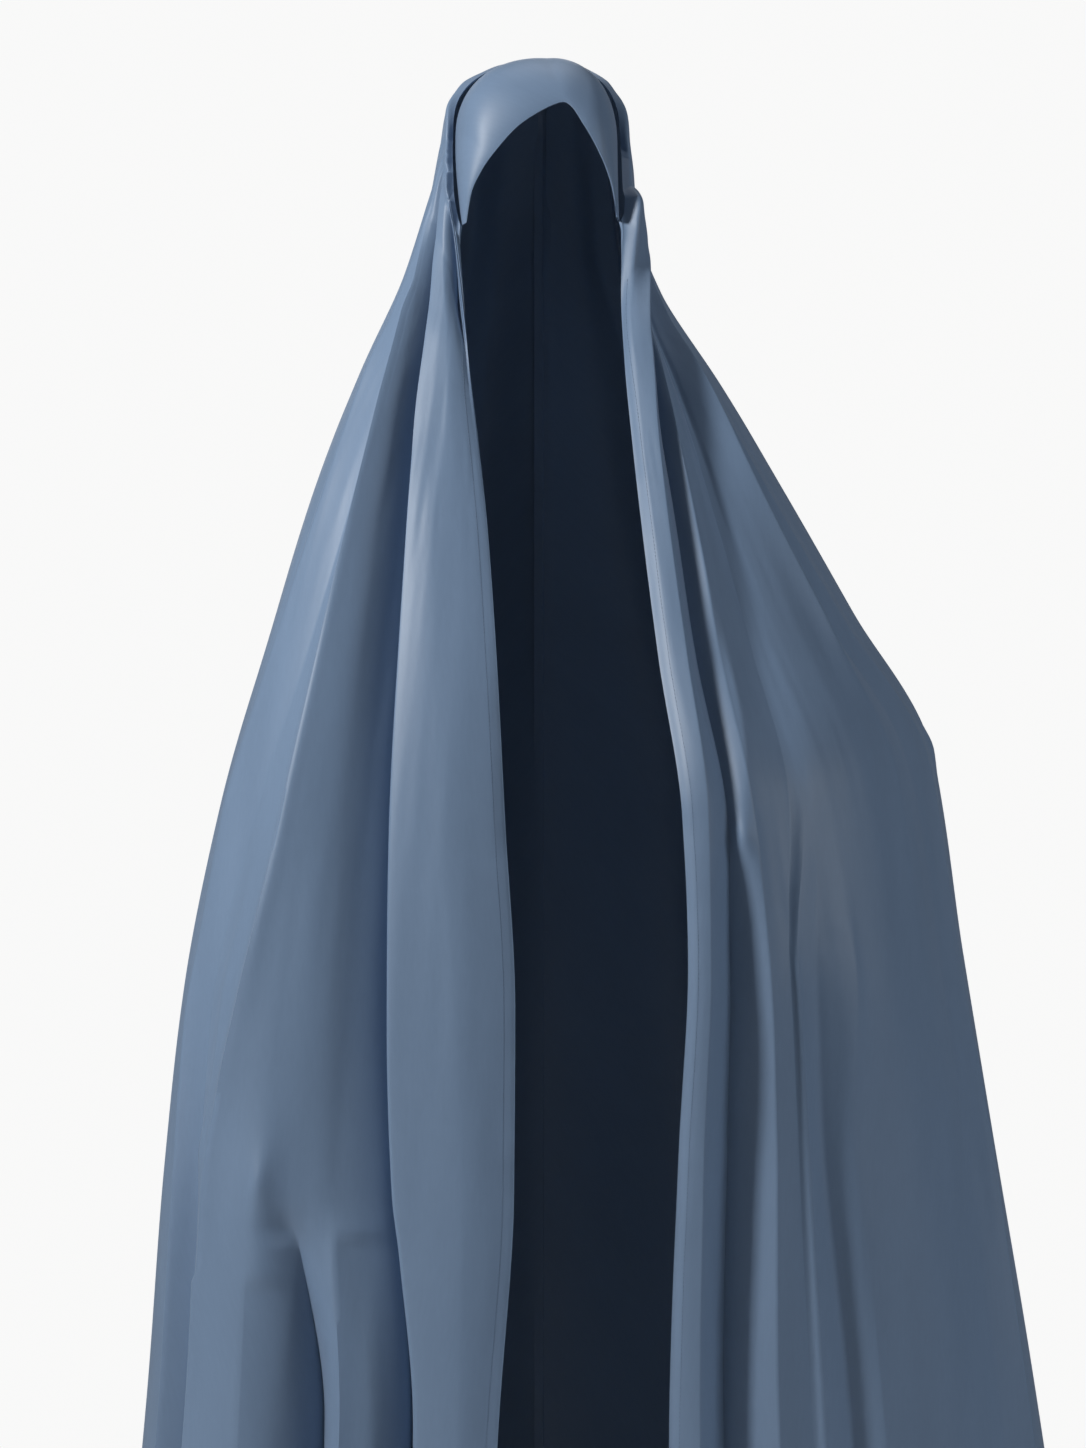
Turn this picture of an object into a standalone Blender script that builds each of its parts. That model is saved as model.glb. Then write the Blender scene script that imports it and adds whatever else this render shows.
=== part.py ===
"""A full-length chador, hung as it hangs when worn, in metres with +Z up and the face opening towards -Y.

The inside of the crown is at the origin. The cloth is three shells: a head panel over the front of the crown, and a
left and a right panel that start in a rolled gather round it, fall to the hem and meet in a seam down the back.
Left and right are as seen from the front, looking along +Y.
"""

import bmesh
import bpy
import numpy as np

HEAD_WIDTH = 0.160  # across the head panel, temple to temple
HEAD_DEPTH = 0.190  # brow to the back of the head
HEAD_HEIGHT = 0.250  # crown to chin
FALL_HEIGHT = 1.450  # chin to hem
SPREAD = 0.960  # side to side at the hem
REACH = 0.640  # front to back at the hem
FOLD_DEPTH = 0.038  # how far the deepest folds stand in or out
ROLL_OUT = 0.007  # how far the rolled gather stands out from the head panel
ROLL_FORWARD = 0.006  # how far it reaches forward over the seam
WALL = 0.0016  # one thickness of cloth
HEM_WALL = 0.0032  # the cloth turned over and stitched
HEM_TURN = 0.012  # how far the turned cloth runs in from the edge
SEAM_GAP = 0.0003  # between two panels that are sewn together
SEAM_FLAT = 0.006  # how far the cloth lies flat on either side of the back seam

CLOTH_COLOUR = (0.150, 0.235, 0.360, 1.0)

# Each row is one section through the hanging cloth. It runs from the front edge round the side to the middle of the
# back. The first three rows follow the head: x in shares of HEAD_WIDTH, y of HEAD_DEPTH and drop of HEAD_HEIGHT. The
# others follow the fall: x in shares of SPREAD, y of REACH and drop the share of FALL_HEIGHT below the chin. Square is how
# full the front corner of the section is: 2 is an ellipse, less is flatter. Flat is 0 for an arch that stands
# upright over the head and 1 for a section that lies level.
SECTION_COLUMNS = (
    "edge_x", "edge_y", "edge_drop", "side_x", "side_y", "side_drop", "back_y", "back_drop", "square", "flat",
)
LEFT_HOOD = {
    "gather": (-0.462, -0.24, 0.640, -0.508, 0.03, 0.310, 0.34, 0.013, 2.2, 0.0),
    "crown": (-0.474, -0.265, 0.740, -0.560, 0.03, 0.340, 0.43, 0.027, 2.2, 0.15),
    "temple": (-0.456, -0.33, 0.920, -0.666, 0.05, 0.530, 0.60, 0.176, 2.1, 0.6),
}
LEFT_FALL = {
    "cheek": (-0.069, -0.135, 0.027, -0.1345, 0.020, -0.034, 0.200, -0.067, 2.0, 1.0),
    "neck": (-0.060, -0.172, 0.076, -0.1760, 0.020, 0.027, 0.200, 0.007, 2.0, 1.0),
    "shoulder": (-0.051, -0.219, 0.131, -0.2150, 0.010, 0.093, 0.225, 0.086, 2.1, 1.0),
    "chest": (-0.042, -0.273, 0.213, -0.2580, 0.000, 0.186, 0.270, 0.186, 2.2, 1.0),
    "elbow": (-0.034, -0.312, 0.311, -0.3060, -0.010, 0.297, 0.310, 0.297, 2.3, 1.0),
    "wrist": (-0.025, -0.336, 0.421, -0.3430, -0.020, 0.421, 0.350, 0.421, 2.4, 1.0),
    "hip": (-0.026, -0.352, 0.531, -0.3615, -0.020, 0.531, 0.390, 0.531, 2.4, 1.0),
    "knee": (-0.040, -0.367, 0.669, -0.3780, -0.010, 0.669, 0.430, 0.669, 2.3, 1.0),
    "calf": (-0.052, -0.380, 0.828, -0.4010, 0.000, 0.828, 0.475, 0.828, 2.2, 1.0),
    "hem": (-0.062, -0.395, 1.000, -0.4270, 0.010, 1.000, 0.520, 1.000, 2.2, 1.0),
}
RIGHT_HOOD = {
    "gather": (0.436, -0.24, 0.622, 0.431, 0.03, 0.340, 0.34, 0.013, 2.2, 0.0),
    "crown": (0.441, -0.265, 0.720, 0.487, 0.03, 0.420, 0.43, 0.027, 2.2, 0.15),
    "temple": (0.441, -0.34, 0.918, 0.558, 0.03, 0.660, 0.60, 0.176, 2.1, 0.6),
}
RIGHT_FALL = {
    "cheek": (0.076, -0.156, 0.027, 0.1135, 0.020, -0.024, 0.200, -0.067, 2.0, 1.0),
    "neck": (0.082, -0.211, 0.076, 0.1700, 0.020, 0.034, 0.200, 0.007, 1.9, 1.0),
    "shoulder": (0.090, -0.273, 0.131, 0.2230, 0.010, 0.093, 0.225, 0.086, 1.8, 1.0),
    "chest": (0.104, -0.359, 0.213, 0.2970, 0.000, 0.179, 0.270, 0.183, 1.7, 1.0),
    "elbow": (0.123, -0.438, 0.304, 0.3710, 0.010, 0.264, 0.310, 0.285, 1.7, 1.0),
    "wrist": (0.128, -0.445, 0.393, 0.4030, 0.010, 0.393, 0.350, 0.402, 1.8, 1.0),
    "hip": (0.120, -0.430, 0.503, 0.4300, 0.010, 0.503, 0.390, 0.508, 1.9, 1.0),
    "knee": (0.112, -0.422, 0.655, 0.4680, 0.010, 0.655, 0.430, 0.655, 2.0, 1.0),
    "calf": (0.110, -0.422, 0.828, 0.5070, 0.015, 0.828, 0.475, 0.828, 2.0, 1.0),
    "hem": (0.108, -0.430, 1.000, 0.5420, 0.020, 1.000, 0.520, 1.000, 2.0, 1.0),
}

# Each row is one crest or valley that runs down the cloth. The first eight columns are its place at eight of the
# sections: on the front the share of the way from the front edge to the side, and after the side one more than the
# share of the turn from the side to the middle of the back. The next eight are how far it stands out there, in
# shares of FOLD_DEPTH. Crisp is how sharply it breaks: 0 is round, 1 is a knife edge.
FOLD_SECTIONS = (0, 2, 4, 5, 7, 9, 10, 12)
LEFT_FOLDS = {
    "edge": ((0, 0, 0, 0, 0, 0, 0, 0), (0, 0, 0, 0, 0, 0, 0, 0), 0.5),
    "temple_crest": ((0.40, 0.11, 0.02, 0.02, 0.025, 0.025, 0.025, 0.025), (0, 0.30, 0.05, 0, 0, 0, 0, 0), 0.3),
    "temple_valley": ((0.78, 0.22, 0.04, 0.04, 0.05, 0.05, 0.05, 0.05), (0, -0.30, -0.05, 0, 0, 0, 0, 0), 0.6),
    "flap": ((0.86, 0.55, 0.28, 0.25, 0.23, 0.19, 0.15, 0.14), (0, 0.22, 0.30, 0.32, 0.32, 0.25, 0.20, 0.25), 0.1),
    "deep_valley": ((0.92, 0.867, 0.524, 0.459, 0.421, 0.34, 0.259, 0.23), (0, -0.30, -0.55, -0.65, -0.80, -0.85, -0.80, -0.65), 0.6),
    "low_ridge": ((0.935, 0.895, 0.57, 0.53, 0.52, 0.53, 0.393, 0.36), (0, -0.05, -0.10, -0.08, 0, 0.10, 0.45, 0.70), 0.3),
    "low_valley": ((0.95, 0.915, 0.62, 0.58, 0.64, 0.639, 0.517, 0.49), (0, 0, 0.10, 0.12, 0.10, -0.20, -0.60, -0.70), 0.5),
    "main_ridge": ((0.962, 0.935, 0.692, 0.65, 0.747, 0.86, 0.76, 0.70), (0, 0.10, 0.42, 0.50, 0.50, 0.45, 0.20, 0.30), 0.8),
    "dent_valley": ((0.968, 0.945, 0.79, 0.77, 0.86, 0.89, 0.845, 0.80), (0, 0, 0.05, 0.05, 0.05, -0.25, -0.40, -0.50), 0.4),
    "crease": ((0.975, 0.955, 0.881, 0.89, 0.955, 0.942, 0.931, 0.90), (0, -0.08, -0.15, -0.20, -0.15, -0.20, -0.30, -0.45), 0.6),
    "side_ridge": ((0.99, 0.98, 0.94, 0.945, 0.98, 0.972, 0.965, 0.95), (0, 0.05, 0.10, 0.08, 0.05, 0.10, 0.20, 0.35), 0.4),
    "side": ((1, 1, 1, 1, 1, 1, 1, 1), (0, 0, 0, 0, 0, 0, 0, 0), 0.2),
    "back_valley_1": ((1.12, 1.12, 1.12, 1.12, 1.12, 1.12, 1.13, 1.14), (0, -0.1, -0.2, -0.3, -0.5, -0.7, -0.8, -1.0), 0.3),
    "back_crest_1": ((1.25, 1.25, 1.25, 1.25, 1.26, 1.27, 1.28, 1.29), (0, 0.05, 0.1, 0.2, 0.3, 0.4, 0.5, 0.8), 0.3),
    "back_valley_2": ((1.36, 1.36, 1.36, 1.37, 1.38, 1.39, 1.40, 1.40), (0, -0.05, -0.1, -0.1, -0.2, -0.4, -0.5, -0.6), 0.4),
    "back_crest_2": ((1.47, 1.47, 1.47, 1.48, 1.48, 1.49, 1.50, 1.51), (0, 0.05, 0.1, 0.2, 0.3, 0.4, 0.5, 0.6), 0.2),
    "back_valley_3": ((1.62, 1.62, 1.62, 1.63, 1.64, 1.65, 1.66, 1.67), (0, -0.1, -0.3, -0.4, -0.6, -0.8, -1.0, -1.3), 0.4),
    "back_crest_3": ((1.80, 1.80, 1.80, 1.80, 1.80, 1.80, 1.81, 1.82), (0, 0.1, 0.2, 0.3, 0.4, 0.5, 0.6, 0.7), 0.2),
    "seam": ((2, 2, 2, 2, 2, 2, 2, 2), (0, 0, -0.1, -0.1, -0.2, -0.2, -0.3, -0.4), 0.1),
}
RIGHT_FOLDS = {
    "edge": ((0, 0, 0, 0, 0, 0, 0, 0), (0, 0, 0, 0, 0, 0, 0, 0), 0.3),
    "strip": ((0.22, 0.45, 0.13, 0.08, 0.022, 0.04, 0.042, 0.045), (0, 0.30, 0.24, 0.20, 0.14, 0.20, 0.22, 0.26), 0.1),
    "strip_ridge": ((0.45, 0.88, 0.263, 0.158, 0.045, 0.08, 0.085, 0.09), (0, 0.25, 0.32, 0.28, 0.20, 0.25, 0.28, 0.34), 0.7),
    "pinch_valley": ((0.62, 0.93, 0.36, 0.24, 0.12, 0.144, 0.14, 0.15), (0, -0.10, -0.30, -0.30, -0.30, -0.80, -0.75, -0.70), 0.5),
    "second_ridge": ((0.80, 0.955, 0.477, 0.454, 0.25, 0.315, 0.333, 0.345), (0, 0.08, 0.25, 0.22, 0.28, 0.25, 0.32, 0.45), 0.6),
    "mid_valley": ((0.93, 0.965, 0.66, 0.62, 0.42, 0.45, 0.48, 0.50), (0, 0, -0.14, -0.14, -0.10, -0.16, -0.24, -0.40), 0.2),
    "far_ridge": ((0.95, 0.972, 0.76, 0.70, 0.58, 0.615, 0.64, 0.66), (0, 0, 0, 0, 0.10, 0.20, 0.26, 0.42), 0.4),
    "far_valley": ((0.965, 0.979, 0.83, 0.76, 0.72, 0.73, 0.74, 0.75), (0, 0, -0.08, -0.10, -0.06, -0.12, -0.22, -0.38), 0.3),
    "third_ridge": ((0.975, 0.985, 0.898, 0.828, 0.85, 0.84, 0.84, 0.83), (0, 0.05, 0.22, 0.28, 0.10, 0.05, 0.12, 0.30), 0.6),
    "layer_valley": ((0.985, 0.991, 0.95, 0.93, 0.955, 0.96, 0.932, 0.90), (0, 0, -0.10, -0.10, -0.05, -0.22, -0.35, -0.45), 0.5),
    "side_ridge": ((0.993, 0.996, 0.98, 0.97, 0.98, 0.983, 0.97, 0.95), (0, 0, 0.08, 0.08, 0.05, 0.10, 0.20, 0.35), 0.4),
    "side": ((1, 1, 1, 1, 1, 1, 1, 1), (0, 0, 0, 0, 0, 0, 0, 0), 0.2),
    "back_valley_1": ((1.13, 1.13, 1.13, 1.13, 1.13, 1.13, 1.14, 1.15), (0, -0.1, -0.2, -0.2, -0.4, -0.6, -0.8, -1.1), 0.4),
    "back_crest_1": ((1.29, 1.29, 1.29, 1.29, 1.30, 1.31, 1.32, 1.33), (0, 0.05, 0.1, 0.2, 0.3, 0.5, 0.6, 0.9), 0.2),
    "back_valley_2": ((1.43, 1.43, 1.43, 1.43, 1.43, 1.43, 1.43, 1.43), (0, -0.1, -0.2, -0.3, -0.5, -0.7, -0.8, -1.0), 0.3),
    "back_crest_2": ((1.54, 1.54, 1.54, 1.54, 1.54, 1.54, 1.54, 1.54), (0, 0.05, 0.1, 0.1, 0.2, 0.3, 0.4, 0.5), 0.4),
    "back_valley_3": ((1.66, 1.66, 1.66, 1.66, 1.65, 1.64, 1.64, 1.63), (0, -0.05, -0.1, -0.1, -0.2, -0.3, -0.4, -0.6), 0.3),
    "back_crest_3": ((1.81, 1.81, 1.81, 1.80, 1.79, 1.78, 1.78, 1.77), (0, 0.1, 0.2, 0.3, 0.4, 0.6, 0.7, 0.9), 0.2),
    "seam": ((2, 2, 2, 2, 2, 2, 2, 2), (0, 0, -0.1, -0.1, -0.2, -0.2, -0.3, -0.4), 0.1),
}

# Each row is one dent where the cloth is drawn over something from inside: its place and section on the fold table's
# scales, how far it reaches along each, and how far it stands out in shares of FOLD_DEPTH.
LEFT_DENTS = {
    "outer_point": (0.875, 8.80, 0.035, 0.26, 0.50),
    "inner_point": (0.61, 8.90, 0.045, 0.28, 0.50),
    "elbow": (0.94, 7.0, 0.08, 0.50, 0.26),
}
RIGHT_DENTS = {
    "pinch": (0.20, 7.15, 0.045, 0.35, 0.34),
    "elbow": (0.97, 7.0, 0.05, 0.40, 0.34),
}

# The front edge of the head panel, from the left temple over the peak to the right temple: how far along it is, then
# x in shares of HEAD_WIDTH, y of HEAD_DEPTH and drop of HEAD_HEIGHT.
FACE_EDGE = {
    "left_end": (0.00, -0.433, -0.295, 0.635),
    "left_low": (0.10, -0.381, -0.345, 0.533),
    "left_mid": (0.20, -0.299, -0.377, 0.449),
    "left_high": (0.30, -0.203, -0.397, 0.371),
    "left_top": (0.40, -0.071, -0.400, 0.283),
    "peak": (0.50, 0.113, -0.384, 0.208),
    "right_top": (0.60, 0.206, -0.390, 0.290),
    "right_high": (0.70, 0.276, -0.384, 0.371),
    "right_mid": (0.80, 0.334, -0.350, 0.428),
    "right_low": (0.90, 0.387, -0.335, 0.531),
    "right_end": (1.00, 0.415, -0.295, 0.608),
}

# The rolled gather, from the seam outwards: the section, then how far it stands out in shares of ROLL_OUT and how
# far it reaches forward in shares of ROLL_FORWARD.
GATHER_ROLL = {"seam": (0.0, 0.0, 0.0), "lip": (0.35, 1.0, 1.0), "top": (0.75, 0.8, 0.8), "end": (1.6, 0.0, 0.0)}
ROLL_FADE = 0.35  # the turn from the front edge over which the roll grows
ROLL_AT_EDGE = 0.55  # the share of the roll at the front edge
CROWN_RISE = 0.015  # how far the head panel arches above the seam
CROWN_SQUARE = 2.4  # how full the arches over the crown are

# Rows of cloth: the first section, the last and how many rows lie between. Columns between two folds, on the front
# and on the back.
ROWS = {"gather": (0, 1, 5), "head": (1, 6, 9), "body": (6, 10, 9), "foot": (10, 12, 3)}
FRONT_COLUMNS = 3
BACK_COLUMNS = 2


def smooth(at, values, where):
    """A curve through the rows of values that never swings past them."""
    at = np.asarray(at, float)
    values = np.asarray(values, float)
    where = np.asarray(where, float)
    step = np.diff(at)
    shape = (-1,) + (1,) * (values.ndim - 1)
    rise = np.diff(values, axis=0) / step.reshape(shape)
    slope = np.zeros_like(values)
    slope[0], slope[-1] = rise[0], rise[-1]
    before, after = rise[:-1], rise[1:]
    same = before * after > 0
    with np.errstate(divide="ignore", invalid="ignore"):
        mean = 2 / (1 / before + 1 / after)
    slope[1:-1] = np.where(same, mean, 0.0)
    cell = np.clip(np.searchsorted(at, where, "right") - 1, 0, len(step) - 1)
    share = ((where - at[cell]) / step[cell]).reshape(shape)
    width = step[cell].reshape(shape)
    square, cube = share**2, share**3
    return (
        (2 * cube - 3 * square + 1) * values[cell]
        + (cube - 2 * square + share) * width * slope[cell]
        + (3 * square - 2 * cube) * values[cell + 1]
        + (cube - square) * width * slope[cell + 1]
    )


def in_metres(hood, fall):
    """The sections of one side, with every length in metres."""
    rows = []
    for table, across, deep, top, high in (
        (hood, HEAD_WIDTH, HEAD_DEPTH, 0, HEAD_HEIGHT),
        (fall, SPREAD, REACH, HEAD_HEIGHT, FALL_HEIGHT),
    ):
        for row in table.values():
            named = dict(zip(SECTION_COLUMNS, row))
            for name in named:
                if name.endswith("_x"):
                    named[name] *= across
                elif name.endswith("_y"):
                    named[name] *= deep
                elif name.endswith("_drop"):
                    named[name] = top + named[name] * high
            rows.append(list(named.values()))
    return np.array(rows)


def sections_at(sections, levels):
    """The section points at each level: edge, side, back and how full the front corner is."""
    named = dict(zip(SECTION_COLUMNS, smooth(range(len(sections)), sections, levels).T))
    middle = np.zeros_like(named["side_x"])
    return (
        np.stack([named["edge_x"], named["edge_y"], -named["edge_drop"]], -1),
        np.stack([named["side_x"], named["side_y"], -named["side_drop"]], -1),
        np.stack([middle, named["back_y"], -named["back_drop"]], -1),
        named["square"][:, None],
        named["flat"][:, None],
    )


def base_surface(sections, place, level):
    """The cloth without its folds. place is 0 at the front edge, 1 at the side and 2 at the back, by angle."""
    edge, side, back, square, flat = sections_at(sections, level.ravel())
    turn = place.reshape(-1, 1) * np.pi / 2
    front = turn <= np.pi / 2
    first = np.where(front, edge, side)
    last = np.where(front, side, back)
    corner = last + (first - last) * np.where(front, (0.0, 0.5, 0.5), (1.0, 0.0, 0.5))
    corner[:, 0] = side[:, 0]
    corner[:, 1:2] += (side - back)[:, 1:2] * np.where(front, 0, 1 - flat)
    corner[:, 2:3] += (back - side)[:, 2:3] * np.where(front, 0, (1 - flat) / 2)
    corner[:, 1:2] = np.where(front, edge[:, 1:2] + (side - edge)[:, 1:2] * (1 - flat) / 2, corner[:, 1:2])
    power = np.where(front, square, CROWN_SQUARE + (2 - CROWN_SQUARE) * flat)
    angle = np.clip(np.where(front, turn, turn - np.pi / 2), 0, np.pi / 2)
    away = np.sin(angle) ** (2 / power)
    round_ = 1 - np.cos(angle) ** (2 / power)
    return (first + (corner - first) * away + (last - corner) * round_).reshape(place.shape + (3,))


def fold_field(sections, folds, dents, columns, level):
    """Where each column of cloth lies and how far it stands out, for every row and column."""
    places = np.array([row[0] for row in folds.values()], float)
    outs = np.array([row[1] for row in folds.values()], float)
    crisp = np.array([row[2] for row in folds.values()], float)
    square = smooth(range(len(sections)), sections[:, -2], level)[:, None]
    share = smooth(FOLD_SECTIONS, places.T, level)
    across = np.clip(share, 0, 1)
    angle = np.arcsin(across ** (square / 2)) / (np.pi / 2)
    angle = np.where(share <= 1, angle, share)
    out = smooth(FOLD_SECTIONS, outs.T, level)
    lines = np.arange(len(places))
    place = smooth(lines, angle.T, columns).T
    cell = np.clip(np.floor(columns).astype(int), 0, len(lines) - 2)
    t = columns - cell
    rise = out[:, cell + 1] - out[:, cell]
    stand = (
        out[:, cell]
        + (3 * t**2 - 2 * t**3) * rise
        + (t**3 - 2 * t**2 + t) * crisp[cell] * rise
        + (t**3 - t**2) * crisp[cell + 1] * rise
    )
    for at, height, wide, high, size in dents.values():
        full = smooth(range(len(sections)), sections[:, -2], [height])[0]
        middle = np.arcsin(at ** (full / 2)) / (np.pi / 2)
        near = ((place - middle) / wide) ** 2 + ((level[:, None] - height) / high) ** 2
        stand = stand + size * np.exp(-near)
    return place, stand * FOLD_DEPTH


def panel_surface(sections, folds, dents, columns, level):
    """The outer face of one panel, with its folds, as rows of points, and which way out is."""
    place, stand = fold_field(sections, folds, dents, columns, level)
    levels = np.broadcast_to(level[:, None], place.shape)
    low, high = np.clip(place - 0.01, 0, 2), np.clip(place + 0.01, 0, 2)
    up, down = np.clip(levels - 0.02, 0, 12), np.clip(levels + 0.02, 0, 12)
    across = base_surface(sections, high, levels) - base_surface(sections, low, levels)
    along = base_surface(sections, place, down) - base_surface(sections, place, up)
    out = np.cross(across, along)
    out /= np.linalg.norm(out, axis=-1, keepdims=True)
    if sections[0, 0] > 0:
        out = -out
    at, outward, forward = np.array(list(GATHER_ROLL.values())).T
    in_roll = np.minimum(level, at[-1])
    from_edge = np.clip(place / ROLL_FADE, 0, 1)
    from_edge = ROLL_AT_EDGE + (1 - ROLL_AT_EDGE) * from_edge**2 * (3 - 2 * from_edge)
    stand = stand + ROLL_OUT * smooth(at, outward, in_roll)[:, None] * from_edge
    points = base_surface(sections, place, levels) + out * stand[..., None]
    points[..., 1] -= ROLL_FORWARD * smooth(at, forward, in_roll)[:, None] * from_edge
    return points


def rows_down():
    """The levels of the rows, closer together where the cloth turns more, with one where the hem's turn starts."""
    levels = [np.linspace(first, last, count, endpoint=False) for first, last, count in ROWS.values()]
    last = FOLD_SECTIONS[-1]
    drops = [row[SECTION_COLUMNS.index("edge_drop")] for row in LEFT_FALL.values()]
    turn = last - HEM_TURN / (FALL_HEIGHT * (drops[-1] - drops[-2]))
    return np.concatenate(levels + [[turn, last]])


def shell(name, points, turned, flip):
    """One piece of cloth: the outer face as an open sheet, thickened inwards, and thicker where it is turned over."""
    rows, columns = points.shape[:2]
    mesh = bpy.data.meshes.new(name)
    sheet = bmesh.new()
    verts = [sheet.verts.new(point) for point in points.reshape(-1, 3)]
    for row in range(rows - 1):
        for column in range(columns - 1):
            a = row * columns + column
            ring = (a, a + 1, a + columns + 1, a + columns)
            if flip:
                ring = ring[::-1]
            sheet.faces.new([verts[i] for i in ring])
    sheet.to_mesh(mesh)
    sheet.free()
    piece = bpy.data.objects.new(name, mesh)
    group = piece.vertex_groups.new(name="turned")
    for index, weight in enumerate(turned.ravel()):
        group.add([index], float(weight), "REPLACE")
    thick = piece.modifiers.new("cloth", "SOLIDIFY")
    thick.thickness = HEM_WALL
    thick.offset = -1
    thick.vertex_group = group.name
    thick.thickness_vertex_group = WALL / HEM_WALL
    mesh.materials.append(cloth_material(name))
    return piece


def cloth_material(name):
    material = bpy.data.materials.new(name + "_cloth")
    material.use_nodes = True
    shader = material.node_tree.nodes["Principled BSDF"]
    shader.inputs["Base Color"].default_value = CLOTH_COLOUR
    shader.inputs["Roughness"].default_value = 0.5
    return material


def panel(name, hood, fall, folds, dents):
    """One of the two long panels, with a turned hem down its front edge and along its foot."""
    sections = in_metres(hood, fall)
    side, last = list(folds).index("side"), len(folds) - 1
    front = np.linspace(0, side, side * FRONT_COLUMNS, endpoint=False)
    back = np.linspace(side, last, (last - side) * BACK_COLUMNS + 1)
    columns = np.concatenate([front, back])
    level = rows_down()
    points = panel_surface(sections, folds, dents, columns, level)
    hand = np.sign(sections[0, 0])
    points[:, -1, 0] = hand * SEAM_GAP / 2
    flat = points[:, -1:] + (hand * SEAM_FLAT, 0, 0)
    points = np.concatenate([points[:, :-1], flat, points[:, -1:]], axis=1)
    turned = np.zeros(points.shape[:2])
    turned[:, 0] = 1
    turned[-2:, :] = 1
    return shell(name, points, turned, hand > 0)


def head_surface(along, back):
    """The head panel's outer face. along runs from the left end to the right, back from the face edge to the seam."""
    table = np.array(list(FACE_EDGE.values()))
    face = smooth(table[:, 0], table[:, 1:], along) * (HEAD_WIDTH, HEAD_DEPTH, -HEAD_HEIGHT)
    seam = np.zeros_like(face)
    for hood, fall, chosen, turn in (
        (LEFT_HOOD, LEFT_FALL, along <= 0.5, along * 4),
        (RIGHT_HOOD, RIGHT_FALL, along > 0.5, (1 - along) * 4),
    ):
        seam[chosen] = base_surface(in_metres(hood, fall), turn[chosen], np.zeros(chosen.sum()))
    middle = np.array([0.0, seam[0, 1], seam[0, 2]])
    inward = middle - seam
    inward[:, 1] = 0
    inward /= np.linalg.norm(inward, axis=-1, keepdims=True)
    seam = seam + inward * SEAM_GAP * 2
    corner = np.stack([seam[:, 0], face[:, 1], seam[:, 2]], -1)
    turn = back[:, None, None] * np.pi / 2
    points = face + (corner - face) * np.sin(turn) + (seam - corner) * (1 - np.cos(turn))
    points[..., 2] += CROWN_RISE * np.sin(np.pi * along) * np.sin(2 * turn[..., 0]) ** 2
    return points


def head_panel(name):
    along = np.linspace(0, 1, 25)
    back = np.linspace(0, 1, 10)
    points = head_surface(along, back)
    turned = np.zeros(points.shape[:2])
    turned[0, :] = 1
    return shell(name, points, turned, False)


def main():
    for item in list(bpy.data.objects):
        bpy.data.objects.remove(item)
    garment = bpy.data.collections.new("chador")
    bpy.context.scene.collection.children.link(garment)
    for piece in (
        head_panel("head_panel"),
        panel("left_panel", LEFT_HOOD, LEFT_FALL, LEFT_FOLDS, LEFT_DENTS),
        panel("right_panel", RIGHT_HOOD, RIGHT_FALL, RIGHT_FOLDS, RIGHT_DENTS),
    ):
        garment.objects.link(piece)


main()
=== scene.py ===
import math

import bmesh
import bpy
import numpy as np
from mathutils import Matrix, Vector


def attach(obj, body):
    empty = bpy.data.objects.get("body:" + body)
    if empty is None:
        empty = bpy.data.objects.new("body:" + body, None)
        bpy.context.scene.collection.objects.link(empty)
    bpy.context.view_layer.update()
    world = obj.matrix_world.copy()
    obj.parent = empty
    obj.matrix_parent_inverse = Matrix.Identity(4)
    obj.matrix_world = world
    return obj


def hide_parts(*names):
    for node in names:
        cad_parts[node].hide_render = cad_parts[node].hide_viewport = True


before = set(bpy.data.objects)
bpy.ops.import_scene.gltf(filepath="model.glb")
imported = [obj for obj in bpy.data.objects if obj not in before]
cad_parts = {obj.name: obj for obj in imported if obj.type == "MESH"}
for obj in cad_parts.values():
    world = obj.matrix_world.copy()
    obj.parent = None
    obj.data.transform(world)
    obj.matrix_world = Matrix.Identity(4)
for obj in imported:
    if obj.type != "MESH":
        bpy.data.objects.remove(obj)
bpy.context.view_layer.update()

# sizes in metres
HEAD_WIDTH = 0.160
HEAD_DEPTH = 0.190
HEAD_HEIGHT = 0.250
FALL_HEIGHT = 1.450
SPREAD = 0.960
REACH = 0.640
FOLD_DEPTH = 0.038
LAP = 0.010
LAP_LIFT = 0.0042
ROLL_OUT = 0.006
WALL = 0.0016
HEM_WALL = 0.0032
HEM_TURN = 0.012
SEAM_GAP = 0.0003
SEAM_FLAT = 0.006
SEAM_FADE = 0.06
FELL_NEAR = 0.0012
FELL_FAR = 0.0085
FELL_BELOW = 1.3
STITCH_PITCH = 0.0036
STITCH_LENGTH = 0.0028
STITCH_INSET = 0.85
THREAD = 0.0005
THREAD_PROUD = 0.3

# the waves of hanging cloth: height, cells across and cells down
LONG_WAVE = (0.0008, 16, 0.5)
SHORT_WAVE = (0.00022, 50, 1.6)
WAVES_FROM = 1.5
PUCKER_HEIGHT = 0.0009
PUCKER_REACH = 0.014
PUCKER_DOWN = 5.5
PUCKER_FROM = 3

# how round fine creases and drawn points are, and the sections over which a crease fades in and out
CREASE_ROUND = 0.12
CREASE_TOP = 0.346
CREASE_START = 0.5
CREASE_END = 0.6
POINT_ROUND = 0.01

CLOTH_COLOUR = (0.158, 0.232, 0.352)
THREAD_COLOUR = (0.140, 0.205, 0.312)

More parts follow.
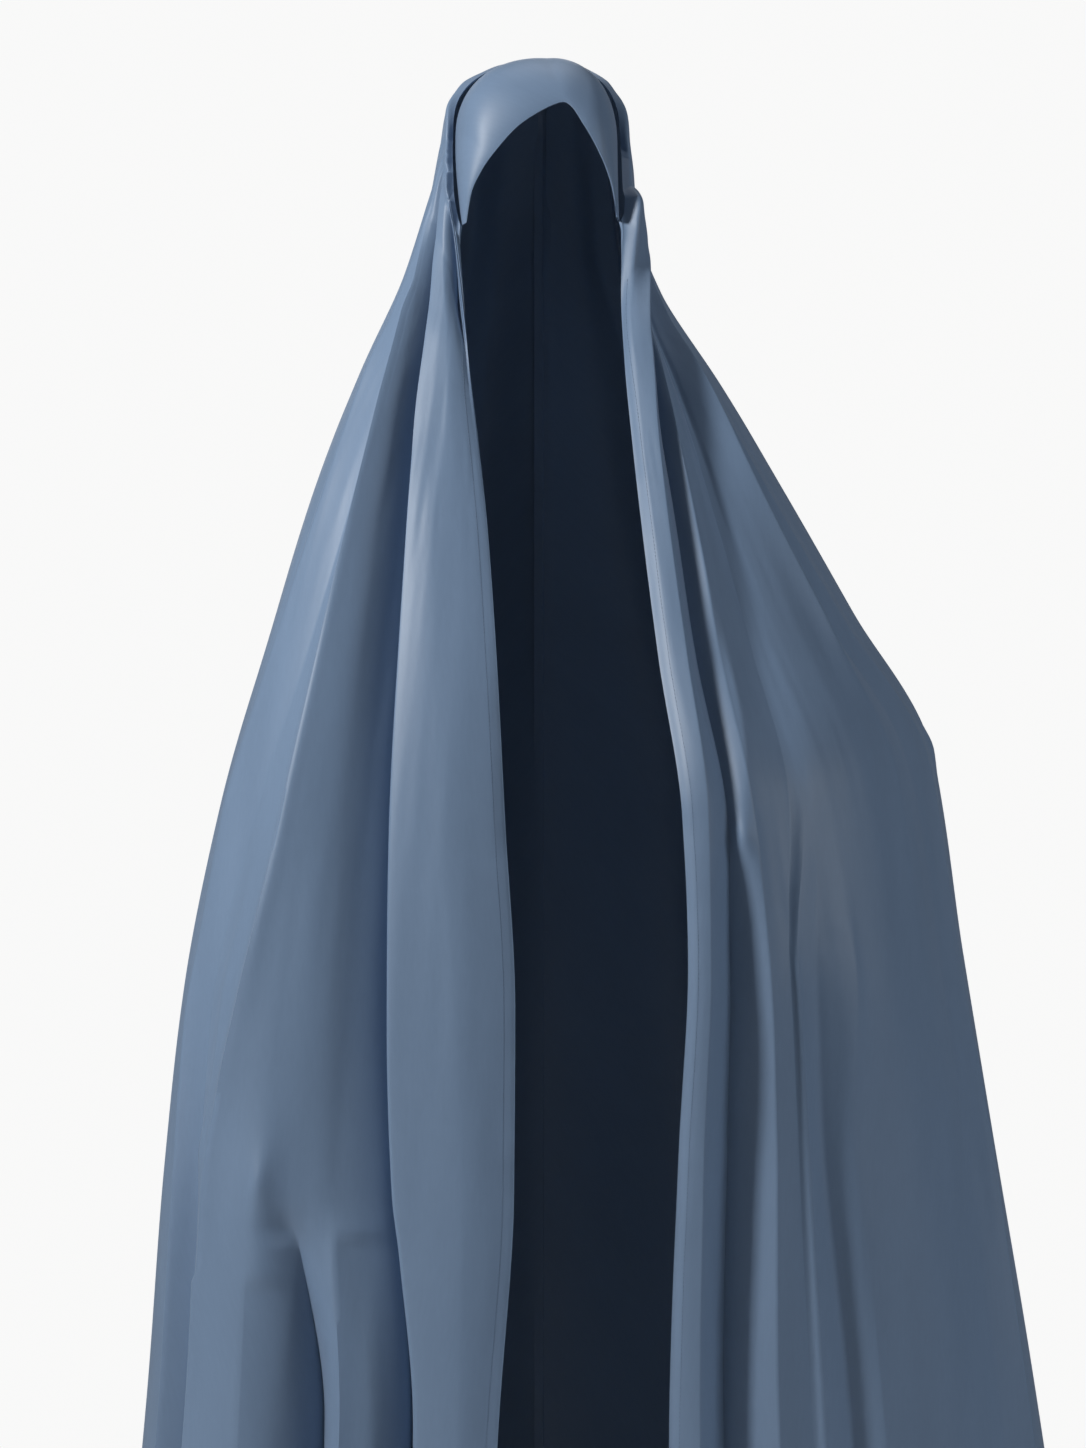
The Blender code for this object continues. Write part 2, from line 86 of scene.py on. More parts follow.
# one row for each section of a long panel, from its top to the hem
SECTION_COLUMNS = (
    "edge_x", "edge_y", "edge_drop",
    "side_x", "side_y", "side_drop",
    "back_y", "back_drop", "square", "flat",
)
LEFT_HOOD = {
    "gather": (-0.462, -0.24, 0.640, -0.508, 0.03, 0.310, 0.34, 0.013, 2.2, 0.0),
    "crown": (-0.462, -0.265, 0.740, -0.560, 0.03, 0.340, 0.43, 0.027, 2.2, 0.15),
    "temple": (-0.448, -0.33, 0.920, -0.666, 0.05, 0.530, 0.60, 0.176, 2.1, 0.6),
}
LEFT_FALL = {
    "cheek": (-0.069, -0.135, 0.027, -0.1345, 0.020, -0.034, 0.200, -0.067, 2.0, 1.0),
    "neck": (-0.060, -0.172, 0.076, -0.1760, 0.020, 0.027, 0.200, 0.007, 2.0, 1.0),
    "shoulder": (-0.051, -0.219, 0.131, -0.2150, 0.010, 0.093, 0.225, 0.086, 2.1, 1.0),
    "chest": (-0.042, -0.273, 0.213, -0.2580, 0.000, 0.186, 0.270, 0.186, 2.2, 1.0),
    "elbow": (-0.034, -0.312, 0.311, -0.3060, -0.010, 0.297, 0.310, 0.297, 2.3, 1.0),
    "wrist": (-0.025, -0.336, 0.421, -0.3430, -0.020, 0.421, 0.350, 0.421, 2.4, 1.0),
    "hip": (-0.026, -0.352, 0.531, -0.3615, -0.020, 0.531, 0.390, 0.531, 2.4, 1.0),
    "knee": (-0.040, -0.367, 0.669, -0.3780, -0.010, 0.669, 0.430, 0.669, 2.3, 1.0),
    "calf": (-0.052, -0.380, 0.828, -0.4010, 0.000, 0.828, 0.475, 0.828, 2.2, 1.0),
    "hem": (-0.062, -0.395, 1.000, -0.4270, 0.010, 1.000, 0.520, 1.000, 2.2, 1.0),
}
RIGHT_HOOD = {
    "gather": (0.436, -0.24, 0.622, 0.431, 0.03, 0.340, 0.34, 0.013, 2.2, 0.0),
    "crown": (0.441, -0.265, 0.720, 0.487, 0.03, 0.420, 0.43, 0.027, 2.2, 0.15),
    "temple": (0.441, -0.34, 0.918, 0.558, 0.03, 0.660, 0.60, 0.176, 2.1, 0.6),
}
RIGHT_FALL = {
    "cheek": (0.076, -0.156, 0.027, 0.1135, 0.020, -0.024, 0.200, -0.067, 2.0, 1.0),
    "neck": (0.082, -0.211, 0.076, 0.1700, 0.020, 0.034, 0.200, 0.007, 1.9, 1.0),
    "shoulder": (0.090, -0.273, 0.131, 0.2230, 0.010, 0.093, 0.225, 0.086, 1.8, 1.0),
    "chest": (0.104, -0.359, 0.213, 0.2970, 0.000, 0.179, 0.270, 0.183, 1.7, 1.0),
    "elbow": (0.123, -0.438, 0.304, 0.3710, 0.010, 0.264, 0.310, 0.285, 1.7, 1.0),
    "wrist": (0.128, -0.445, 0.393, 0.4030, 0.010, 0.393, 0.350, 0.402, 1.8, 1.0),
    "hip": (0.120, -0.430, 0.503, 0.4300, 0.010, 0.503, 0.390, 0.508, 1.9, 1.0),
    "knee": (0.112, -0.422, 0.655, 0.4680, 0.010, 0.655, 0.430, 0.655, 2.0, 1.0),
    "calf": (0.110, -0.422, 0.828, 0.5070, 0.015, 0.828, 0.475, 0.828, 2.0, 1.0),
    "hem": (0.108, -0.430, 1.000, 0.5420, 0.020, 1.000, 0.520, 1.000, 2.0, 1.0),
}

# a row for each crest or valley: places by section, heights in shares of FOLD_DEPTH, and how crisp it is
FRONT_SECTIONS = (0, 1, 2, 3, 4, 5, 6, 7, 8, 9, 9.3, 10, 12)
LEFT_FRONT = {
    "edge": (
        (0, 0, 0, 0, 0, 0, 0, 0, 0, 0, 0, 0, 0),
        (0, 0, 0, 0, 0, 0, 0, 0, 0, 0, 0, 0, 0), 0.5,
    ),
    "temple_crest": (
        (0.3, 0.12, 0.05, 0.015, 0.01, 0.01, 0.01, 0.01, 0.01, 0.01, 0.01, 0.01, 0.01),
        (0, 0.12, 0.12, 0.05, 0.02, 0.02, 0.02, 0.02, 0.02, 0.02, 0.02, 0.02, 0.02), 0.4,
    ),
    "temple_valley": (
        (0.62, 0.42, 0.15, 0.05, 0.03, 0.03, 0.03, 0.03, 0.03, 0.03, 0.03, 0.03, 0.03),
        (0, -0.05, -0.08, 0.03, 0.04, 0.05, 0.05, 0.05, 0.05, 0.05, 0.05, 0.05, 0.05), 0.6,
    ),
    "flap": (
        (0.72, 0.66, 0.48, 0.3, 0.26, 0.29, 0.26, 0.22, 0.17, 0.14, 0.131, 0.11, 0.1),
        (0, 0.12, 0.18, 0.2, 0.22, 0.24, 0.24, 0.22, 0.2, 0.2, 0.19, 0.18, 0.18), 0.3,
    ),
    "flap_side": (
        (0.8, 0.82, 0.7, 0.56, 0.48, 0.435, 0.408, 0.38, 0.357, 0.321, 0.291, 0.22, 0.17),
        (0, 0.1, 0.14, 0.17, 0.2, 0.2, 0.18, 0.15, 0.14, 0.1, 0.09, 0.08, 0.08), 0.9,
    ),
    "deep_valley": (
        (0.84, 0.86, 0.735, 0.585, 0.5, 0.457, 0.432, 0.404, 0.382, 0.347, 0.316, 0.245, 0.195),
        (0, -0.12, -0.5, -0.8, -1, -1.15, -1.25, -1.3, -1.3, -1.25, -1.22, -1.15, -1), 1.4,
    ),
    "low_ridge": (
        (0.88, 0.885, 0.795, 0.645, 0.56, 0.525, 0.515, 0.5, 0.495, 0.505, 0.485, 0.42, 0.37),
        (0, -0.05, -0.22, -0.34, -0.4, -0.42, -0.45, -0.45, -0.42, -0.35, -0.25, 0.1, 0.5), 0.7,
    ),
    "low_valley": (
        (0.905, 0.905, 0.845, 0.7, 0.62, 0.595, 0.597, 0.6, 0.61, 0.61, 0.585, 0.52, 0.475),
        (0, 0, -0.02, 0.04, 0.1, 0.12, 0.14, 0.14, 0.12, 0, -0.4, -1.15, -1.35), 1.5,
    ),
    "dent_crest": (
        (0.92, 0.92, 0.88, 0.735, 0.655, 0.635, 0.645, 0.66, 0.7, 0.695, 0.69, 0.675, 0.64),
        (0, 0.05, 0.08, 0.22, 0.34, 0.38, 0.4, 0.4, 0.4, 0.4, 0.4, 0.42, 0.48), 0.6,
    ),
    "main_ridge": (
        (0.935, 0.935, 0.905, 0.76, 0.682, 0.664, 0.678, 0.697, 0.752, 0.808, 0.812, 0.818, 0.8),
        (0, 0.06, 0.12, 0.34, 0.5, 0.56, 0.58, 0.58, 0.56, 0.5, 0.42, 0.32, 0.34), 1.2,
    ),
    "plane_valley": (
        (0.96, 0.96, 0.955, 0.84, 0.755, 0.735, 0.77, 0.83, 0.885, 0.885, 0.881, 0.86, 0.84),
        (0, 0, 0, 0.06, 0.16, 0.2, 0.18, 0.12, -0.02, -0.2, -0.28, -0.36, -0.45), 0.7,
    ),
    "layer_ridge": (
        (0.975, 0.975, 0.972, 0.95, 0.89, 0.87, 0.9, 0.945, 0.944, 0.923, 0.918, 0.905, 0.89),
        (0, 0.03, 0.05, 0.12, 0.3, 0.34, 0.28, 0.14, 0.12, 0.16, 0.18, 0.24, 0.34), 0.8,
    ),
    "layer_valley": (
        (0.99, 0.99, 0.988, 0.983, 0.955, 0.94, 0.965, 0.985, 0.97, 0.955, 0.95, 0.94, 0.93),
        (0, 0, -0.03, -0.05, -0.02, -0.02, -0.02, -0.03, -0.15, -0.3, -0.33, -0.4, -0.5), 0.6,
    ),
    "side": (
        (1, 1, 1, 1, 1, 1, 1, 1, 1, 1, 1, 1, 1),
        (0, 0, 0, 0, 0, 0, 0, 0, 0, 0, 0, 0, 0), 0.2,
    ),
}
RIGHT_FRONT = {
    "edge": (
        (0, 0, 0, 0, 0, 0, 0, 0, 0, 0, 0, 0, 0),
        (0, 0, 0, 0, 0, 0, 0, 0, 0, 0, 0, 0, 0), 0.3,
    ),
    "strip": (
        (0.2, 0.3, 0.35, 0.231, 0.11, 0.075, 0.05, 0.035, 0.03, 0.03, 0.03, 0.03, 0.03),
        (0.05, 0.28, 0.28, 0.22, 0.18, 0.16, 0.15, 0.15, 0.15, 0.15, 0.15, 0.15, 0.2), 0.2,
    ),
    "strip_ridge": (
        (0.45, 0.7, 0.8, 0.5, 0.24, 0.165, 0.118, 0.085, 0.07, 0.07, 0.072, 0.075, 0.08),
        (0.05, 0.34, 0.34, 0.3, 0.26, 0.24, 0.22, 0.22, 0.22, 0.22, 0.22, 0.22, 0.25), 0.5,
    ),
    "pinch_valley": (
        (0.62, 0.9, 0.93, 0.62, 0.34, 0.26, 0.195, 0.17, 0.16, 0.16, 0.156, 0.148, 0.15),
        (0, 0, -0.05, -0.18, -0.24, -0.26, -0.3, -0.34, -0.6, -0.7, -0.72, -0.72, -0.7), 1,
    ),
    "second_ridge": (
        (0.8, 0.93, 0.95, 0.7, 0.445, 0.36, 0.285, 0.245, 0.262, 0.28, 0.277, 0.27, 0.27),
        (0, 0, 0, -0.03, 0, 0, 0.01, 0.04, 0.04, 0.05, 0.06, 0.1, 0.16), 0.8,
    ),
    "second_valley": (
        (0.9, 0.95, 0.962, 0.84, 0.64, 0.54, 0.46, 0.4, 0.335, 0.35, 0.353, 0.36, 0.36),
        (0, 0, 0, -0.22, -0.26, -0.22, -0.18, -0.12, -0.06, -0.06, -0.07, -0.08, -0.1), 0.6,
    ),
    "thin_ridge": (
        (0.91, 0.954, 0.966, 0.855, 0.67, 0.58, 0.51, 0.45, 0.358, 0.378, 0.382, 0.392, 0.395),
        (0, 0, 0, -0.22, -0.25, -0.2, -0.14, -0.07, 0.02, 0.02, 0.02, 0.02, 0.02), 0.8,
    ),
    "low_valley": (
        (0.92, 0.958, 0.97, 0.87, 0.7, 0.62, 0.56, 0.5, 0.43, 0.435, 0.446, 0.47, 0.48),
        (0, 0, 0, -0.16, -0.12, -0.08, -0.05, -0.03, -0.08, -0.14, -0.17, -0.24, -0.4), 0.7,
    ),
    "low_ridge": (
        (0.93, 0.965, 0.975, 0.89, 0.74, 0.68, 0.66, 0.6, 0.55, 0.53, 0.533, 0.54, 0.56),
        (0, 0, 0, -0.08, 0.04, 0.08, 0.06, 0.02, 0.03, 0.03, 0.04, 0.05, 0.14), 0.6,
    ),
    "third_ridge": (
        (0.95, 0.973, 0.982, 0.922, 0.8, 0.76, 0.79, 0.8, 0.78, 0.78, 0.78, 0.78, 0.77),
        (0, 0, 0.02, 0.12, 0.28, 0.34, 0.26, 0.1, 0.02, 0, -0.01, -0.02, -0.04), 1.0,
    ),
    "third_valley": (
        (0.965, 0.98, 0.987, 0.945, 0.845, 0.815, 0.85, 0.88, 0.88, 0.88, 0.877, 0.87, 0.86),
        (0, 0, 0, -0.1, -0.16, -0.14, -0.06, -0.03, -0.05, -0.06, -0.07, -0.08, -0.14), 0.8,
    ),
    "layer_ridge": (
        (0.975, 0.986, 0.991, 0.965, 0.91, 0.9, 0.92, 0.955, 0.95, 0.938, 0.932, 0.918, 0.91),
        (0, 0, 0, 0, 0, 0.02, 0.05, 0.05, 0.08, 0.15, 0.17, 0.22, 0.3), 0.7,
    ),
    "layer_valley": (
        (0.985, 0.993, 0.995, 0.982, 0.955, 0.95, 0.965, 0.98, 0.975, 0.968, 0.964, 0.955, 0.95),
        (0, 0, 0, 0, -0.05, -0.05, -0.05, -0.05, -0.15, -0.3, -0.33, -0.4, -0.5), 0.6,
    ),
    "side": (
        (1, 1, 1, 1, 1, 1, 1, 1, 1, 1, 1, 1, 1),
        (0, 0, 0, 0, 0, 0, 0, 0, 0, 0, 0, 0, 0), 0.2,
    ),
}
BACK_SECTIONS = (0, 4, 7, 9, 12)
LEFT_BACK = {
    "valley_1": ((1.12, 1.12, 1.12, 1.12, 1.14), (0, -0.2, -0.5, -0.7, -1.0), 0.3),
    "crest_1": ((1.25, 1.25, 1.26, 1.27, 1.29), (0, 0.1, 0.3, 0.4, 0.8), 0.3),
    "valley_2": ((1.36, 1.36, 1.38, 1.39, 1.40), (0, -0.1, -0.2, -0.4, -0.6), 0.4),
    "crest_2": ((1.47, 1.47, 1.48, 1.49, 1.51), (0, 0.1, 0.3, 0.4, 0.6), 0.3),
    "valley_3": ((1.62, 1.62, 1.64, 1.65, 1.67), (0, -0.3, -0.6, -0.8, -1.3), 0.4),
    "crest_3": ((1.80, 1.80, 1.80, 1.80, 1.82), (0, 0.2, 0.4, 0.5, 0.7), 0.3),
    "seam": ((2, 2, 2, 2, 2), (0, -0.1, -0.2, -0.2, -0.4), 0.1),
}
RIGHT_BACK = {
    "valley_1": ((1.13, 1.13, 1.13, 1.13, 1.15), (0, -0.2, -0.4, -0.6, -1.1), 0.4),
    "crest_1": ((1.29, 1.29, 1.30, 1.31, 1.33), (0, 0.1, 0.3, 0.5, 0.9), 0.3),
    "valley_2": ((1.43, 1.43, 1.43, 1.43, 1.43), (0, -0.2, -0.5, -0.7, -1.0), 0.3),
    "crest_2": ((1.54, 1.54, 1.54, 1.54, 1.54), (0, 0.1, 0.2, 0.3, 0.5), 0.4),
    "valley_3": ((1.66, 1.66, 1.65, 1.64, 1.63), (0, -0.1, -0.2, -0.3, -0.6), 0.3),
    "crest_3": ((1.81, 1.81, 1.79, 1.78, 1.77), (0, 0.2, 0.4, 0.6, 0.9), 0.3),
    "seam": ((2, 2, 2, 2, 2), (0, -0.1, -0.2, -0.2, -0.4), 0.1),
}

# a row for each drawn point: place, section, reach across and down, and height in shares of FOLD_DEPTH
LEFT_POINTS = {
    "outer_point": (0.835, 8.80, 0.05, 0.45, 0.26),
    "inner_point": (0.665, 8.95, 0.045, 0.35, 0.28),
    "elbow": (0.94, 7.0, 0.10, 0.60, 0.10),
}
RIGHT_POINTS = {
    "pinch": (0.20, 7.18, 0.06, 0.50, 0.45),
    "elbow": (0.985, 6.98, 0.07, 0.35, 0.22),
}

# a row for each fine crease: its path by section and place, near and far width, and height in metres
LEFT_CREASES = {
    "main_line": (
        ((2.6, 0.80), (3, 0.76), (4, 0.68), (5, 0.66), (6, 0.672), (7, 0.69), (8, 0.752), (8.8, 0.802)),
        0.020, 0.005, 0.0060,
    ),
    "second_line": (((7.3, 0.785), (8, 0.828), (8.75, 0.83)), 0.006, 0.005, 0.0022),
    "plane_line": (((3.3, 0.94), (4, 0.898), (5, 0.878), (6, 0.917), (6.6, 0.945)), 0.007, 0.004, 0.0022),
    "outer_line": (((5.0, 0.925), (5.5, 0.948), (6.5, 0.972)), 0.004, 0.006, -0.0020),
    "layer_line": (((7.6, 0.955), (8, 0.946), (9, 0.925), (10, 0.907), (12, 0.892)), 0.006, 0.004, 0.0024),
    "inner_line": (((8.9, 0.828), (9.3, 0.826), (10, 0.820), (12, 0.802)), 0.005, 0.008, 0.0030),
    "plane_dent": (((8.85, 0.845), (9.3, 0.85), (10, 0.855), (12, 0.84)), 0.005, 0.006, -0.0030),
    "inner_dent": (((8.95, 0.655), (9.3, 0.592), (10, 0.522), (12, 0.477)), 0.005, 0.008, -0.0030),
    "thin_ridge": (((9.3, 0.40), (10, 0.345), (12, 0.31)), 0.008, 0.005, 0.0024),
    "temple_line": (((0.4, 0.62), (1.0, 0.45), (2, 0.16), (2.8, 0.05)), 0.003, 0.004, -0.0022),
}
RIGHT_CREASES = {
    "strip_line": (
        ((1.2, 0.72), (2, 0.80), (3, 0.50), (4, 0.24), (5, 0.165), (6, 0.118), (7, 0.085)),
        0.007, 0.004, 0.0018,
    ),
    "second_line": (((2.9, 0.72), (3.4, 0.58), (4, 0.445), (5, 0.360), (6, 0.285)), 0.004, 0.009, 0.0022),
    "fan_line": (((3.1, 0.77), (4, 0.56), (5, 0.46), (6, 0.40)), 0.006, 0.006, 0.0014),
    "third_line": (((3.2, 0.90), (4, 0.798), (5, 0.757), (6, 0.79), (6.5, 0.83)), 0.010, 0.004, 0.0028),
    "pinch_up": (((5.6, 0.16), (6.2, 0.14), (7.1, 0.175)), 0.005, 0.006, 0.0022),
    "pinch_far": (((5.8, 0.34), (6.3, 0.30), (6.8, 0.25), (7.15, 0.19)), 0.006, 0.006, 0.0022),
    "pinch_side": (((6.9, 0.40), (7.05, 0.30), (7.2, 0.20)), 0.010, 0.010, 0.0016),
    "light_ridge": (((7.1, 0.22), (8, 0.262), (9, 0.280), (10, 0.270), (12, 0.268)), 0.008, 0.006, 0.0022),
    "thin_ridge": (((7.6, 0.33), (8, 0.347), (9, 0.368), (10, 0.383), (12, 0.385)), 0.005, 0.004, 0.0018),
    "low_line": (((7.8, 0.40), (8, 0.42), (9, 0.428), (10, 0.468), (12, 0.478)), 0.009, 0.006, -0.0018),
    "far_line": (((7.5, 0.52), (8, 0.547), (9, 0.511), (10, 0.515)), 0.010, 0.006, 0.0014),
    "layer_line": (((8.3, 0.945), (9, 0.938), (10, 0.918), (12, 0.91)), 0.005, 0.004, 0.0026),
}

# the head panel's front edge: share of the way round, across, depth and drop
FACE_EDGE = {
    "left_end": (0.00, -0.433, -0.295, 0.635),
    "left_low": (0.10, -0.405, -0.340, 0.533),
    "left_mid": (0.20, -0.342, -0.372, 0.449),
    "left_high": (0.30, -0.250, -0.394, 0.371),
    "left_top": (0.40, -0.115, -0.400, 0.283),
    "peak": (0.50, 0.113, -0.384, 0.208),
    "right_top": (0.60, 0.230, -0.388, 0.290),
    "right_high": (0.70, 0.306, -0.376, 0.371),
    "right_mid": (0.80, 0.360, -0.348, 0.445),
    "right_low": (0.90, 0.400, -0.325, 0.531),
    "right_end": (1.00, 0.415, -0.295, 0.608),
}

# the outer cloth's lap over the head panel: section, and shares of its lift, outward and forward reach
GATHER_ROLL = {
    "lip": (0.0, 1.0, 0.0, 1.0),
    "crest": (0.45, 1.0, 1.0, 0.9),
    "fall": (1.0, 0.6, 0.6, 0.4),
    "end": (1.8, 0.0, 0.0, 0.0),
}
ROLL_FADE = 0.35
ROLL_AT_EDGE = 0.08
CROWN_RISE = 0.011
CROWN_SQUARE = 2.4
EVEN_ROUNDS = 30
EVEN_TO = 4.5
EVEN_OVER = 1.5

# rows of cloth between sections, and columns on the front and back of each long panel
HEM_SECTION = 12
ROWS = ((0, 1.6, 22), (1.6, 6, 78), (6, HEM_SECTION, 150))
FRONT_COLUMNS = 128
BACK_COLUMNS = 46
EVEN_COLUMNS = 0.40
CLOSEST_COLUMNS = 0.02
SPACING_SECTION = 7
TURNED_EDGE = (1, 0.6, 0.2)
EDGE_STITCHES_FROM = 26
SEAM_STITCHES_FROM = 4
HEAD_COLUMNS = 161
HEAD_ROWS = 60

# the camera: distance, height, and half the height that it sees at that distance
EYE_AWAY = 3.6
EYE_HEIGHT = -0.6127
HALF_VIEW = 0.666
SENSOR = 24


# camera and light
def camera():
    data = bpy.data.cameras.new("camera")
    data.sensor_fit = "VERTICAL"
    data.sensor_height = SENSOR
    data.lens = SENSOR / 2 / (HALF_VIEW / EYE_AWAY)
    eye = bpy.data.objects.new("camera", data)
    bpy.context.collection.objects.link(eye)
    eye.location = (0.0, -EYE_AWAY, EYE_HEIGHT)
    eye.rotation_euler = (math.radians(90), 0, 0)
    bpy.context.scene.camera = eye


def area_light(name, place, aim, size, power, colour=(1, 1, 1)):
    data = bpy.data.lights.new(name, "AREA")
    data.shape = "RECTANGLE"
    data.size, data.size_y = size
    data.energy = power
    data.color = colour
    lamp = bpy.data.objects.new(name, data)
    bpy.context.collection.objects.link(lamp)
    lamp.location = place
    lamp.rotation_euler = (Vector(aim) - Vector(place)).to_track_quat("-Z", "Y").to_euler()


def studio():
    bpy.context.scene.view_settings.view_transform = "Standard"
    area_light("key", (-1.90, -1.35, 0.75), (0, -0.1, -0.40), (0.4, 0.6), 71, (1.0, 0.99, 0.97))
    area_light("fill", (3.0, -1.3, 0.1), (0, 0, -0.6), (1.0, 1.2), 27, (0.88, 0.94, 1.0))
    area_light("back", (-0.3, 2.9, 0.6), (0, 0, -0.7), (1.8, 1.8), 9, (0.96, 0.98, 1.0))
    area_light("top", (0.2, 0.5, 2.2), (0, 0, -0.4), (1.6, 1.4), 12)
    world = bpy.data.worlds.new("studio")
    bpy.context.scene.world = world
    world.use_nodes = True
    nodes, links = world.node_tree.nodes, world.node_tree.links
    nodes.clear()
    seen = nodes.new("ShaderNodeBackground")
    seen.inputs["Color"].default_value = (0.945, 0.945, 0.943, 1)
    around = nodes.new("ShaderNodeBackground")
    around.inputs["Color"].default_value = (0.95, 0.97, 1.0, 1)
    around.inputs["Strength"].default_value = 0.06
    path = nodes.new("ShaderNodeLightPath")
    mix = nodes.new("ShaderNodeMixShader")
    out = nodes.new("ShaderNodeOutputWorld")
    links.new(path.outputs["Is Camera Ray"], mix.inputs["Fac"])
    links.new(around.outputs[0], mix.inputs[1])
    links.new(seen.outputs[0], mix.inputs[2])
    links.new(mix.outputs[0], out.inputs["Surface"])
    mesh = bpy.data.meshes.new("floor")
    disc = bmesh.new()
    bmesh.ops.create_circle(disc, cap_ends=True, radius=2.1, segments=96)
    disc.to_mesh(mesh)
    disc.free()
    floor = bpy.data.objects.new("floor", mesh)
    floor.location = (0, 0.05, -(HEAD_HEIGHT + FALL_HEIGHT) - 0.024)
    bpy.context.collection.objects.link(floor)
    pale = bpy.data.materials.new("pale_floor")
    pale.use_nodes = True
    shader = pale.node_tree.nodes["Principled BSDF"]
    shader.inputs["Base Color"].default_value = (0.86, 0.86, 0.855, 1)
    shader.inputs["Roughness"].default_value = 0.7
    mesh.materials.append(pale)


# the cloth's surface
def smooth(at, values, where):
    """A curve through the rows of values that never swings past them."""
    at = np.asarray(at, float)
    values = np.asarray(values, float)
    where = np.asarray(where, float)
    step = np.diff(at)
    shape = (-1,) + (1,) * (values.ndim - 1)
    rise = np.diff(values, axis=0) / step.reshape(shape)
    slope = np.zeros_like(values)
    slope[0], slope[-1] = rise[0], rise[-1]
    before, after = rise[:-1], rise[1:]
    same = before * after > 0
    with np.errstate(divide="ignore", invalid="ignore"):
        mean = 2 / (1 / before + 1 / after)
    slope[1:-1] = np.where(same, mean, 0.0)
    cell = np.clip(np.searchsorted(at, where, "right") - 1, 0, len(step) - 1)
    share = ((where - at[cell]) / step[cell]).reshape(shape)
    width = step[cell].reshape(shape)
    square, cube = share**2, share**3
    return (
        (2 * cube - 3 * square + 1) * values[cell]
        + (cube - 2 * square + share) * width * slope[cell]
        + (3 * square - 2 * cube) * values[cell + 1]
        + (cube - square) * width * slope[cell + 1]
    )


def in_metres(hood, fall):
    rows = []
    for table, across, deep, top, high in (
        (hood, HEAD_WIDTH, HEAD_DEPTH, 0, HEAD_HEIGHT),
        (fall, SPREAD, REACH, HEAD_HEIGHT, FALL_HEIGHT),
    ):
        for row in table.values():
            named = dict(zip(SECTION_COLUMNS, row))
            for name in named:
                if name.endswith("_x"):
                    named[name] *= across
                elif name.endswith("_y"):
                    named[name] *= deep
                elif name.endswith("_drop"):
                    named[name] = top + named[name] * high
            rows.append(list(named.values()))
    return np.array(rows)


def sections_at(sections, levels):
    named = dict(zip(SECTION_COLUMNS, smooth(range(len(sections)), sections, levels).T))
    middle = np.zeros_like(named["side_x"])
    return (
        np.stack([named["edge_x"], named["edge_y"], -named["edge_drop"]], -1),
        np.stack([named["side_x"], named["side_y"], -named["side_drop"]], -1),
        np.stack([middle, named["back_y"], -named["back_drop"]], -1),
        named["square"][:, None],
        named["flat"][:, None],
    )


def base_surface(sections, place, level):
    """The cloth without its folds: place is 0 at the front edge, 1 at the side and 2 at the back."""
    edge, side, back, square, flat = sections_at(sections, level.ravel())
    turn = place.reshape(-1, 1) * np.pi / 2
    front = turn <= np.pi / 2
    first = np.where(front, edge, side)
    last = np.where(front, side, back)
    corner = last + (first - last) * np.where(front, (0.0, 0.5, 0.5), (1.0, 0.0, 0.5))
    corner[:, 0] = side[:, 0]
    corner[:, 1:2] += (side - back)[:, 1:2] * np.where(front, 0, 1 - flat)
    corner[:, 2:3] += (back - side)[:, 2:3] * np.where(front, 0, (1 - flat) / 2)
    corner[:, 1:2] = np.where(front, edge[:, 1:2] + (side - edge)[:, 1:2] * (1 - flat) / 2, corner[:, 1:2])
    power = np.where(front, square, CROWN_SQUARE + (2 - CROWN_SQUARE) * flat)
    angle = np.clip(np.where(front, turn, turn - np.pi / 2), 0, np.pi / 2)
    away = np.sin(angle) ** (2 / power)
    round_ = 1 - np.cos(angle) ** (2 / power)
    return (first + (corner - first) * away + (last - corner) * round_).reshape(place.shape + (3,))


def fold_field(sections, front, back, points, columns, level):
    """Where each column of cloth lies and how far it stands out, for every row and column."""
    square = smooth(range(len(sections)), sections[:, -2], level)[:, None]
    tables = []
    for at, table in ((FRONT_SECTIONS, front), (BACK_SECTIONS, back)):
        for column in (0, 1):
            rows = np.array([row[column] for row in table.values()], float)
            tables.append(smooth(at, rows.T, level))
    front_place, front_out, back_place, back_out = tables
    angle = np.arcsin(np.clip(front_place, 0, 1) ** (square / 2)) / (np.pi / 2)
    lines = np.concatenate([angle, back_place], axis=1)
    out = np.concatenate([front_out, back_out], axis=1)
    crisp = np.array([row[2] for table in (front, back) for row in table.values()], float)
    place = smooth(range(lines.shape[1]), lines.T, columns).T
    rise = np.diff(out, axis=1)
    before = np.concatenate([rise[:, :1], rise], axis=1)
    after = np.concatenate([rise, rise[:, -1:]], axis=1)
    with np.errstate(divide="ignore", invalid="ignore"):
        mean = 2 / (1 / before + 1 / after)
    flank = before * after > 0
    flank[:, [0, -1]] = False
    arrive = np.where(flank, mean, crisp * before)
    leave = np.where(flank, mean, crisp * after)
    cell = np.clip(np.floor(columns).astype(int), 0, rise.shape[1] - 1)
    t = columns - cell
    stand = (
        out[:, cell]
        + (3 * t**2 - 2 * t**3) * rise[:, cell]
        + (t**3 - 2 * t**2 + t) * leave[:, cell]
        + (t**3 - t**2) * arrive[:, cell + 1]
    )
    for at, height, wide, high, size in points.values():
        full = smooth(range(len(sections)), sections[:, -2], [height])[0]
        middle = np.arcsin(at ** (full / 2)) / (np.pi / 2)
        near = ((place - middle) / wide) ** 2 + ((level[:, None] - height) / high) ** 2
        stand = stand + size * np.exp(-2 * np.sqrt(near + POINT_ROUND))
    return place, stand * FOLD_DEPTH


